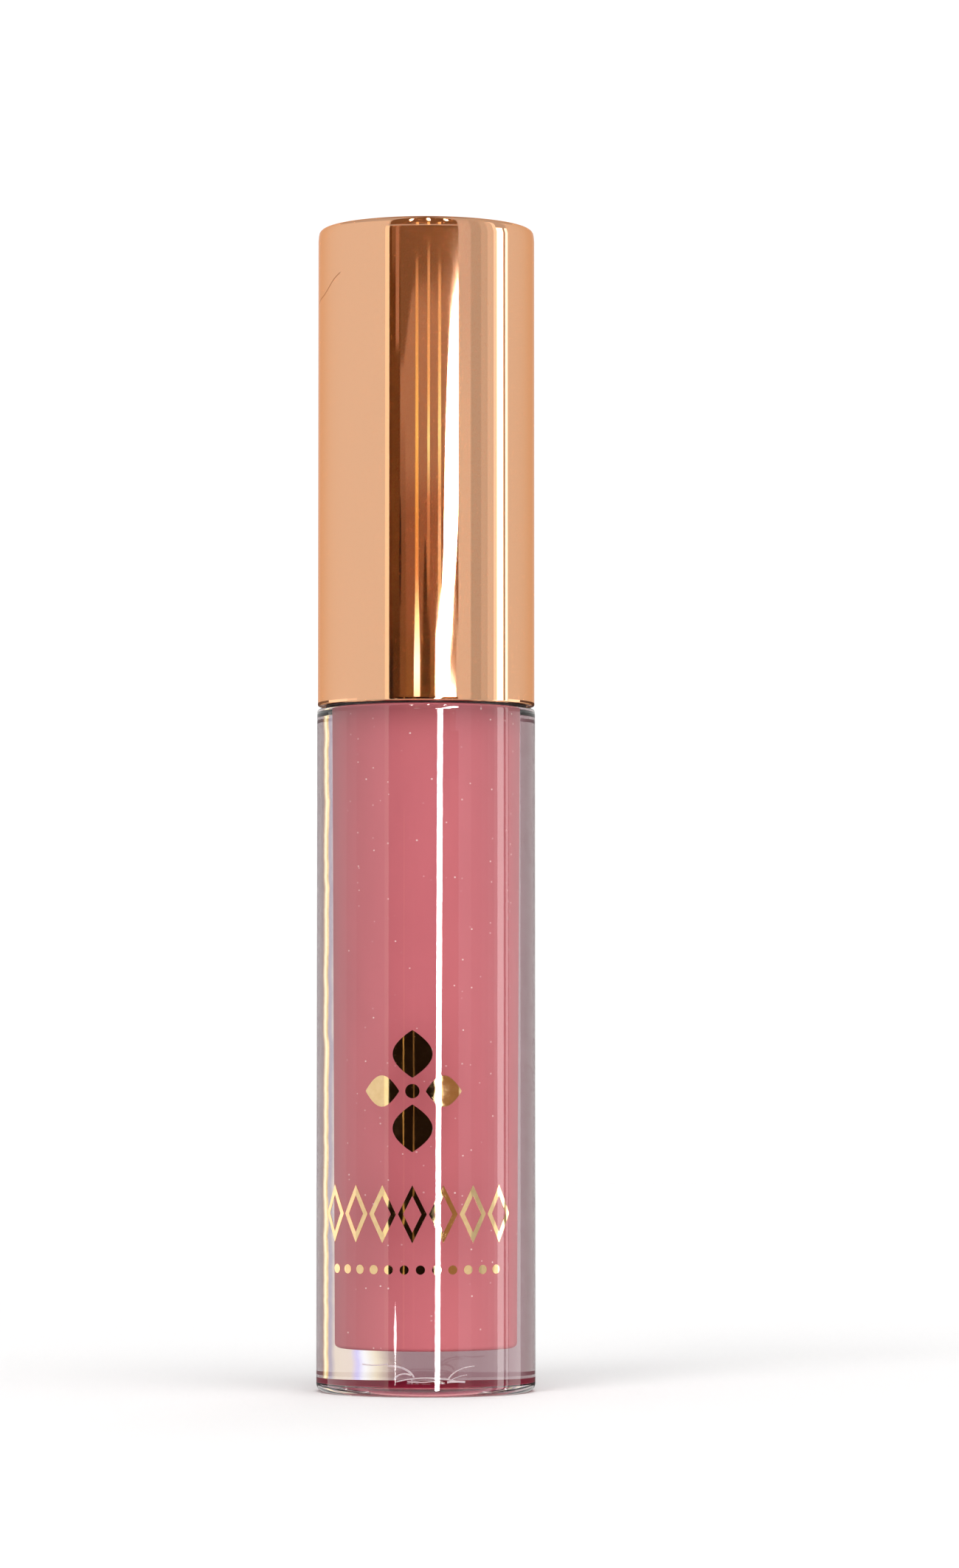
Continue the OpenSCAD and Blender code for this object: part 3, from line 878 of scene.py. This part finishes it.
def bendAround(bm, middleZ, turn):
    # cuts the flat shape into narrow upright slices, lays it on the body, and gives it its thickness
    step = foil["slice"]
    low = min(v.co.x for v in bm.verts)
    high = max(v.co.x for v in bm.verts)
    x = low + step
    while x < high - step / 2:
        bmesh.ops.bisect_plane(
            bm, geom=list(bm.verts) + list(bm.edges) + list(bm.faces), dist=flatDistance,
            plane_co=(x, 0, 0), plane_no=(1, 0, 0),
        )
        x += step
    skinR = bodyR + foil["lift"]
    for v in bm.verts:
        a = v.co.x / bodyR + math.radians(turn)
        v.co = Vector((math.sin(a) * skinR, -math.cos(a) * skinR, middleZ + v.co.y))
    bmesh.ops.recalc_face_normals(bm, faces=bm.faces)
    for face in bm.faces:
        middle = face.calc_center_median()
        if face.normal.x * middle.x + face.normal.y * middle.y < 0:
            face.normal_flip()
    bmesh.ops.solidify(bm, geom=list(bm.faces), thickness=-foil["thickness"])


def makeEmblem(gold):
    f = foil
    middle = (emblemLow.z + emblemHigh.z) / 2
    tall = (emblemHigh.z - emblemLow.z) / 2
    wide = (emblemHigh.x - emblemLow.x) / 2
    upright, sideways = (f["petalWidth"], tall), (f["sidePetalWidth"], wide)
    whole = bmesh.new()
    for turn, (width, height) in ((0, upright), (180, upright), (90, sideways), (270, sideways)):
        part = bmesh.new()
        petal(part, width, height, f["petalGap"], turn)
        bendAround(part, middle, 0)
        joinInto(whole, part)
    part = bmesh.new()
    bmesh.ops.create_circle(part, cap_ends=True, segments=32, radius=f["discR"])
    bendAround(part, middle, 0)
    joinInto(whole, part)
    finishPiece(whole, "emblemFoil", gold, "vial", ["foil_emblem"], weighted=False)


def makeRow(name, node, gold, count, pitch, middle, draw):
    # the same flat shape, stamped count times round the body
    whole = bmesh.new()
    step = math.degrees(pitch / bodyR)
    for i in range(count):
        part = bmesh.new()
        draw(part)
        bendAround(part, middle, (i - (count - 1) / 2) * step)
        joinInto(whole, part)
    finishPiece(whole, name, gold, "vial", [node], weighted=False)


def makeFoil():
    f = foil
    gold = goldFoil()
    makeEmblem(gold)

    def drawLozenge(part):
        lozenge(part, f["lozengeWidth"], bandHigh.z - bandLow.z, f["lozengeLine"])

    def drawDot(part):
        bmesh.ops.create_circle(part, cap_ends=True, segments=24, radius=f["dotR"])

    makeRow("bandFoil", "foil_band", gold, f["lozenges"], f["lozengeWidth"] + f["lozengeSpace"],
            (bandLow.z + bandHigh.z) / 2, drawLozenge)
    makeRow("lineFoil", "foil_line", gold, f["dots"], 2 * f["dotR"] + f["dotSpace"],
            (lineLow.z + lineHigh.z) / 2, drawDot)


makeFoil()
print("foil made")


# the wiper in the neck

wiper = {
    "wall": 0.75,
    "orificeR": 2.2,
    "flangeR": 6.39,
    "bite": 0.02,          # the press into the neck
    "lipWall": 0.55,
    "lipHeight": 0.6,
    "coneInside": 4.6,     # heights over the foot where the cone meets the sleeve
    "coneOutside": 4.0,
    "leadIn": 0.35,        # how far the sleeve's foot is drawn in
    "sleeveFoot": 4.9,
    "edgeRound": 0.2,
    "lipRound": 0.12,
}


def milkyPlastic(name, color, grainScale=900):
    mat, tree, shader = newMaterial(name)
    grain = objectNoise(tree, grainScale, 3)
    low = tuple(c * 0.95 for c in color)
    rampFrom(tree, grain.outputs["Fac"], [(0.3, low), (0.7, color)], shader.inputs["Base Color"])
    setInputs(shader, {"Subsurface Weight": 0.25, "Subsurface Radius": (0.001, 0.0009, 0.0008)})
    rampFrom(tree, grain.outputs["Fac"], [(0.3, 0.32), (0.7, 0.46)], shader.inputs["Roughness"])
    bumpFrom(tree, shader, grain.outputs["Fac"], 0.12, 0.00002)
    return mat


def makeWiper():
    w = wiper
    outR = vial["cavityTopR"] + w["bite"]
    foot, top, rim = wiperLow.z, wiperHigh.z, neckTop
    inR = outR - w["wall"]
    outline = [
        (inR, top), (inR, foot + w["coneInside"]), (w["orificeR"], foot + w["lipHeight"]),
        (w["orificeR"], foot), (w["orificeR"] + w["lipWall"], foot),
        (outR - w["leadIn"], foot + w["coneOutside"]), (outR, foot + w["sleeveFoot"]),
        (outR, rim), (w["flangeR"], rim), (w["flangeR"], top),
    ]
    bm = spinProfile(outline, 96, closed=True)
    roundRing(bm, w["flangeR"], top, w["edgeRound"], 3)
    roundRing(bm, inR, top, w["edgeRound"], 3)
    roundRing(bm, w["orificeR"], foot, w["lipRound"], 3)
    roundRing(bm, w["orificeR"], foot + w["lipHeight"], w["edgeRound"], 3)
    finishPiece(bm, "wiperInsert", milkyPlastic("wiperPlastic", (0.84, 0.82, 0.8)),
                "vial", ["wiper"])


makeWiper()


# the cap

cap = {
    "segments": 192,
    "wall": 0.7,
    "topThickness": 0.9,
    "topRound": 0.4,
    "topTaper": 0.13,      # how far the wall leans in over its last stretch
    "topTaperHeight": 0.8,
    "taperRound": 0.3,
    "ceilingRound": 0.5,
    "rimRound": 0.15,
    "footRings": (0.3, 0.7, 1.2),   # close rings keep the shading true next to the rim
    "wallRingFoot": 2,
    "wallRingStep": 1.8,
    "wallRings": 21,
    "lacquer": (0.87, 0.5, 0.3, 1),
    "scratchNormal": (-0.68, 0.0, 0.733),   # the slanted plane that the scratch follows
    "scratchDistance": 0.0765,              # in metres, as the four sizes below are
    "scratchWidth": 0.00004,
    "scratchWander": 0.0006,
    "scratchHeight": 0.0965,
    "scratchReach": 0.0012,
}


def roseMirror():
    # a metallised mirror under a warm lacquer, which adds a soft haze under the sharp reflections
    mat, tree, sharpLobe = newMaterial("roseMirror")
    out = next(n for n in tree.nodes if n.type == "OUTPUT_MATERIAL")
    setInputs(sharpLobe, {"Metallic": 1.0, "Specular Tint": (0.9, 0.62, 0.45, 1)})
    haze = tree.nodes.new("ShaderNodeBsdfPrincipled")
    setInputs(haze, {"Base Color": (0.8, 0.25, 0.085, 1), "Metallic": 1.0, "Roughness": 0.6})
    mix = tree.nodes.new("ShaderNodeMixShader")
    mix.inputs["Fac"].default_value = 0.05
    tree.links.new(sharpLobe.outputs[0], mix.inputs[1])
    tree.links.new(haze.outputs[0], mix.inputs[2])
    tree.links.new(mix.outputs[0], out.inputs["Surface"])
    smear = objectNoise(tree, 260, 4, stretch=(1, 1, 0.25))
    rampFrom(tree, smear.outputs["Fac"], [(0.35, 0.022), (0.75, 0.05)], sharpLobe.inputs["Roughness"])
    peel = objectNoise(tree, 420, 2)
    bumpFrom(tree, sharpLobe, peel.outputs["Fac"], 0.12, 0.00001)

    # one hair scratch near the top of the left side: the cut of a slanted plane, between two heights
    coords = tree.nodes.new("ShaderNodeTexCoord")
    cut = tree.nodes.new("ShaderNodeVectorMath")
    cut.operation = "DOT_PRODUCT"
    cut.inputs[1].default_value = cap["scratchNormal"]
    bend = objectNoise(tree, 300, 1)
    line = mathNode(tree, "MULTIPLY_ADD", [(1, cap["scratchWander"])])
    near = mathNode(tree, "COMPARE", [(1, cap["scratchDistance"]), (2, cap["scratchWidth"])])
    split = tree.nodes.new("ShaderNodeSeparateXYZ")
    height = mathNode(tree, "COMPARE", [(1, cap["scratchHeight"]), (2, cap["scratchReach"])])
    both = mathNode(tree, "MULTIPLY")
    dull = tree.nodes.new("ShaderNodeMix")
    dull.data_type = "RGBA"
    setInputs(dull, {"A": cap["lacquer"], "B": (0.45, 0.2, 0.1, 1)})
    tree.links.new(coords.outputs["Object"], cut.inputs[0])
    tree.links.new(bend.outputs["Fac"], line.inputs[0])
    tree.links.new(cut.outputs["Value"], line.inputs[2])
    tree.links.new(line.outputs[0], near.inputs[0])
    tree.links.new(coords.outputs["Object"], split.inputs[0])
    tree.links.new(split.outputs["Z"], height.inputs[0])
    tree.links.new(near.outputs[0], both.inputs[0])
    tree.links.new(height.outputs[0], both.inputs[1])
    tree.links.new(both.outputs[0], dull.inputs["Factor"])
    tree.links.new(dull.outputs["Result"], sharpLobe.inputs["Base Color"])
    return mat


def makeCap():
    c = cap
    low, high = capLow.z, capHigh.z
    inR = capR - c["wall"]
    outline = [(0, high - c["topThickness"]), (inR, high - c["topThickness"]), (inR, low)]
    outline += [(capR, low)] + [(capR, low + up) for up in c["footRings"]]
    outline += [(capR, low + c["wallRingFoot"] + c["wallRingStep"] * i) for i in range(c["wallRings"])]
    taperZ = high - c["topTaperHeight"]
    topR = capR - c["topTaper"]
    outline += [(capR, taperZ), (topR, high), (0, high)]
    bm = spinProfile(outline, c["segments"])
    roundRing(bm, topR, high, c["topRound"], 8)
    roundRing(bm, capR, taperZ, c["taperRound"], 5)
    roundRing(bm, capR, low, c["rimRound"], 4)
    roundRing(bm, inR, low, c["rimRound"], 4)
    roundRing(bm, inR, high - c["topThickness"], c["ceilingRound"], 4)
    finishPiece(bm, "capShell", roseMirror(), "cap", ["cap_shell"])


makeCap()
print("cap made")

# the liner is coloured near black: painted shade for the dark line in the gap under the cap
linerGapShadeFinish = milkyPlastic("linerPaintedGapShade", (0.018, 0.016, 0.016), 700)
sealFinish = milkyPlastic("sealFoam", (0.88, 0.87, 0.84), 2400)
for nodeName, finish in (("cap_liner", linerGapShadeFinish), ("seal_ring", sealFinish)):
    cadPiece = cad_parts[nodeName]
    cadPiece.data.materials.clear()
    cadPiece.data.materials.append(finish)


# the wand

wand = {
    "rodR": 1.9,
    "headR": 2.6,
    "spigotR": 1.1,
    "spigotLength": 4.0,
    "coreR": 1.6,
    "flockThickness": 0.45,
    "slant": 11.0,       # degrees the long flat face leans
    "fibres": 2600,
    "fibreLength": 0.42,
    "fibreR": 0.03,
    "fibreTipR": 0.009,
    "fibreRoot": 0.2,        # how deep a fibre is planted
    "fibreLimit": 0.1,       # how far fibres may stand off the coat
    "headLength": 7.3,
    "headSlope": 1.2,
    "collarHeight": 1.0,
    "rodRingStep": 1.5,
    "edgeRound": 0.15,
    "headRound": 0.3,
    "collarRound": 0.12,
    "footRingStep": 0.5,
}


def wetRod():
    # natural plastic above, coated with gloss where it stands in the vial
    mat, tree, shader = newMaterial("wetRod")
    coords = tree.nodes.new("ShaderNodeTexCoord")
    split = tree.nodes.new("ShaderNodeSeparateXYZ")
    tree.links.new(coords.outputs["Object"], split.inputs[0])
    ripple = objectNoise(tree, 420, 3)
    shift = mathNode(tree, "MULTIPLY_ADD", [(1, 0.006)])
    tree.links.new(ripple.outputs["Fac"], shift.inputs[0])
    tree.links.new(split.outputs["Z"], shift.inputs[2])
    reach = tree.nodes.new("ShaderNodeMapRange")
    setInputs(reach, {"From Min": 0.030, "From Max": 0.067})
    tree.links.new(shift.outputs[0], reach.inputs["Value"])
    rampFrom(tree, reach.outputs[0], [
        (0.0, (0.62, 0.17, 0.2)), (0.5, (0.7, 0.28, 0.3)), (0.82, (0.82, 0.62, 0.6)),
        (1.0, (0.85, 0.83, 0.8)),
    ], shader.inputs["Base Color"])
    setInputs(shader, {"Roughness": 0.16, "Coat Weight": 0.5, "Coat Roughness": 0.05})
    bumpFrom(tree, shader, ripple.outputs["Fac"], 0.4, 0.00006)
    return mat


def softCore():
    mat, tree, shader = newMaterial("softCore")
    grain = objectNoise(tree, 1500, 2)
    rampFrom(tree, grain.outputs["Fac"], [
        (0.3, (0.6, 0.24, 0.25)), (0.7, (0.7, 0.3, 0.31)),
    ], shader.inputs["Base Color"])
    shader.inputs["Roughness"].default_value = 0.35
    bumpFrom(tree, shader, grain.outputs["Fac"], 0.2, 0.00002)
    return mat


def wetFlock():
    mat, tree, shader = newMaterial("wetFlock")
    clump = objectNoise(tree, 1300, 4)
    rampFrom(tree, clump.outputs["Fac"], [
        (0.25, (0.5, 0.1, 0.13)), (0.55, (0.66, 0.2, 0.23)), (0.85, (0.85, 0.45, 0.45)),
    ], shader.inputs["Base Color"])
    setInputs(shader, {"Roughness": 0.3, "Coat Weight": 0.35, "Coat Roughness": 0.12})
    bumpFrom(tree, shader, clump.outputs["Fac"], 0.6, 0.00008)
    return mat


def footShape(radius, foot, top, cut, edge):
    # a round-ended rod with one long slanted face
    w = wand
    heights = [foot + radius + w["footRingStep"] * i for i in range(60)]
    rings = [(radius, z) for z in heights if z < top - 0.2]
    bm = spinProfile([(0, foot), (radius, foot)] + rings + [(radius, top), (0, top)], 48)
    roundRing(bm, radius, foot, radius * 0.97, 8)
    lean = math.radians(w["slant"])
    cutDone = bmesh.ops.bisect_plane(
        bm, geom=list(bm.verts) + list(bm.edges) + list(bm.faces), dist=flatDistance,
        plane_co=(cut, 0, foot), plane_no=(math.cos(lean), 0, -math.sin(lean)), clear_outer=True,
    )
    rim = [g for g in cutDone["geom_cut"] if isinstance(g, bmesh.types.BMEdge)]
    bmesh.ops.contextual_create(bm, geom=rim)
    if edge > 0:
        rimEdges = [e for e in bm.edges if len(e.link_faces) == 2 and e.calc_face_angle(0) > 0.35
                    and all(v.co.x > cut - 0.2 for v in e.verts)]
        bmesh.ops.bevel(
            bm, geom=rimEdges, offset=edge, offset_type="OFFSET", segments=3, profile=0.5,
            affect="EDGES", material=-1, clamp_overlap=True,
        )
    bmesh.ops.recalc_face_normals(bm, faces=bm.faces)
    return bm


def makeRod():
    w = wand
    low, high = rodLow.z, rodHigh.z
    joint = low + w["spigotLength"]
    headFoot = high - w["headLength"]
    outline = [(0, low), (w["spigotR"], low), (w["spigotR"], joint), (w["rodR"], joint)]
    heights = [joint + 1 + w["rodRingStep"] * i for i in range(35)]
    outline += [(w["rodR"], z) for z in heights if z < headFoot - 1.5 * w["headSlope"]]
    outline += [(w["rodR"], headFoot - w["headSlope"]), (w["headR"], headFoot), (w["headR"], high)]
    outline += [(0, high)]
    bm = spinProfile(outline, 72)
    roundRing(bm, w["rodR"], joint, w["edgeRound"], 3)
    roundRing(bm, w["headR"], high, w["headRound"], 3)
    finishPiece(bm, "wandRod", wetRod(), "cap", ["wand_rod"])


def makeFoot():
    w = wand
    core = footShape(w["coreR"], coreLow.z, coreHigh.z - 0.01, 0.05, 0.0)
    collarFoot, collarTop = coreHigh.z - w["collarHeight"], coreHigh.z - 0.005
    collar = spinProfile([
        (0, collarFoot), (w["rodR"], collarFoot), (w["rodR"], collarTop), (0, collarTop),
    ], 72)
    roundRing(collar, w["rodR"], collarFoot, w["collarRound"], 3)
    joinInto(core, collar)
    finishPiece(core, "footCore", softCore(), "cap", ["tip_core"])

    flockR = w["coreR"] + w["flockThickness"]
    coat = footShape(flockR - 0.06, flockLow.z + 0.05, flockHigh.z, 0.42, 0.2)
    bmesh.ops.triangulate(coat, faces=[f for f in coat.faces if len(f.verts) > 4])
    coat.faces.ensure_lookup_table()
    rng = random.Random(7)
    faces = [f for f in coat.faces if f.calc_center_median().z < flockHigh.z - 0.05]
    weights = [f.calc_area() for f in faces]
    spots = []
    for face in rng.choices(faces, weights=weights, k=w["fibres"]):
        corners = [v.co for v in face.verts]
        a, b = rng.random(), rng.random()
        if len(corners) == 4:
            low = corners[0].lerp(corners[1], a)
            high = corners[3].lerp(corners[2], a)
            point = low.lerp(high, b)
        else:
            if a + b > 1:
                a, b = 1 - a, 1 - b
            point = corners[0] + (corners[1] - corners[0]) * a + (corners[2] - corners[0]) * b
        spots.append((point.copy(), face.normal.copy()))
    for point, normal in spots:
        sway = Vector((rng.uniform(-0.5, 0.5), rng.uniform(-0.5, 0.5), rng.uniform(-0.9, 0.1)))
        aim = (normal + sway).normalized()
        length = w["fibreLength"] * rng.uniform(0.6, 1.0)
        place = Matrix.Translation(point + aim * (length / 2 - w["fibreRoot"]))
        pose = place @ aim.to_track_quat("Z", "Y").to_matrix().to_4x4()
        bmesh.ops.create_cone(
            coat, cap_ends=False, segments=3, radius1=w["fibreR"], radius2=w["fibreTipR"],
            depth=length, matrix=pose,
        )
    limit = flockR + w["fibreLimit"]
    for v in coat.verts:
        r = math.hypot(v.co.x, v.co.y)
        if r > limit:
            v.co.x *= limit / r
            v.co.y *= limit / r
    finishPiece(coat, "flockCoat", wetFlock(), "cap", ["tip_flock"], weighted=False)


makeRod()
makeFoot()
print("wand made")

def plain(bounds):
    return [[float(n) for n in corner] for corner in bounds]

print("scene finished")
